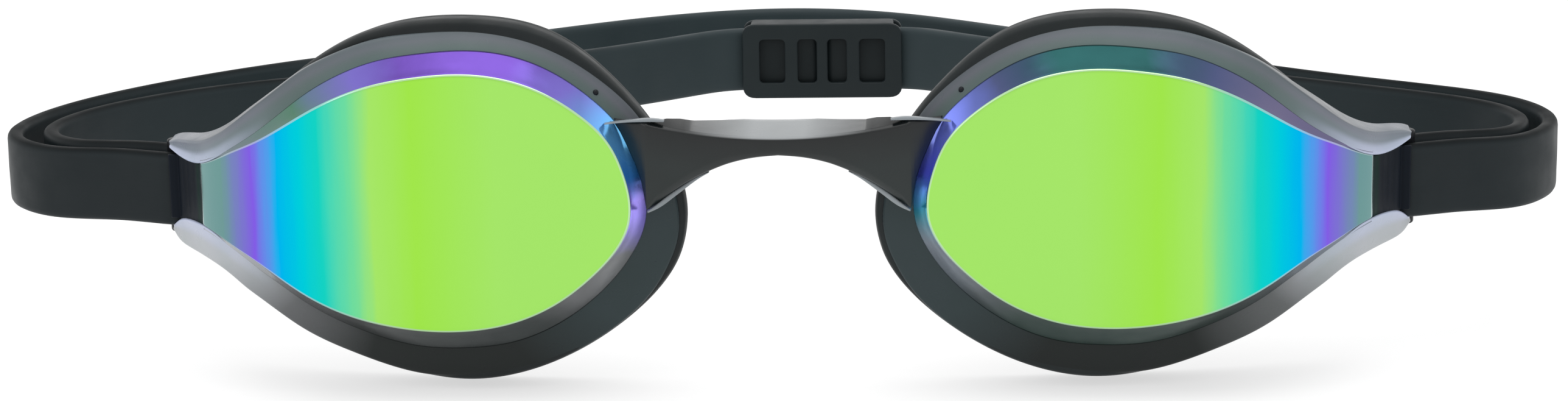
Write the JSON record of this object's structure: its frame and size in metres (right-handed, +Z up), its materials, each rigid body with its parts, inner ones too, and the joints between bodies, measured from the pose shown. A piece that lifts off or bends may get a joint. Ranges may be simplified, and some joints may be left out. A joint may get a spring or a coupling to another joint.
{
  "type": "swim goggles",
  "caption": "Low-profile racing swim goggles with mirrored wrap-round lenses, soft gaskets, an arched nose bridge and a double silicone head strap with a ladder buckle.",
  "frame": {"origin": "bottom centre of the whole goggles' bounding box, below the middle of the head loop", "axes": "+X to the wearer's left, +Y towards the back of the head, +Z up; the lenses face -Y"},
  "size_m": [0.1949, 0.1198, 0.0453],
  "materials": {
    "mirror_lens": "glossy green to violet mirror coating over smoke polycarbonate",
    "gasket_rubber": "matt soft black",
    "strap_silicone": "satin charcoal silicone",
    "bridge_plastic": "satin dark grey",
    "buckle_plastic": "satin dark grey"
  },
  "bodies": {
    "eyecups": {"lens_left": "mirror_lens", "lens_right": "mirror_lens", "gasket_left": "gasket_rubber", "gasket_right": "gasket_rubber", "strap_wrap_left": "strap_silicone", "strap_wrap_right": "strap_silicone"},
    "nose_bridge": {"nose_bridge": "bridge_plastic"},
    "outer_band": {"strap_outer_band": "strap_silicone"},
    "inner_band": {"strap_inner_left": "strap_silicone", "strap_inner_right": "strap_silicone", "buckle": "buckle_plastic"}
  },
  "joints": [
    {"name": "bridge_release", "type": "slide", "parent": "eyecups", "child": "nose_bridge", "axis": [0, -1, 0], "range_m": [0, 0.014]},
    {"name": "outer_band_swing", "type": "hinge", "parent": "eyecups", "child": "outer_band", "pos_m": [0, -0.0389, 0.02185], "axis": [1, 0, 0], "range_deg": [-10, 20], "stiffness_Nm_per_rad": 0.5},
    {"name": "inner_band_swing", "type": "hinge", "parent": "eyecups", "child": "inner_band", "pos_m": [0, -0.0389, 0.02185], "axis": [1, 0, 0], "range_deg": [-11, 12], "stiffness_Nm_per_rad": 0.5}
  ]
}
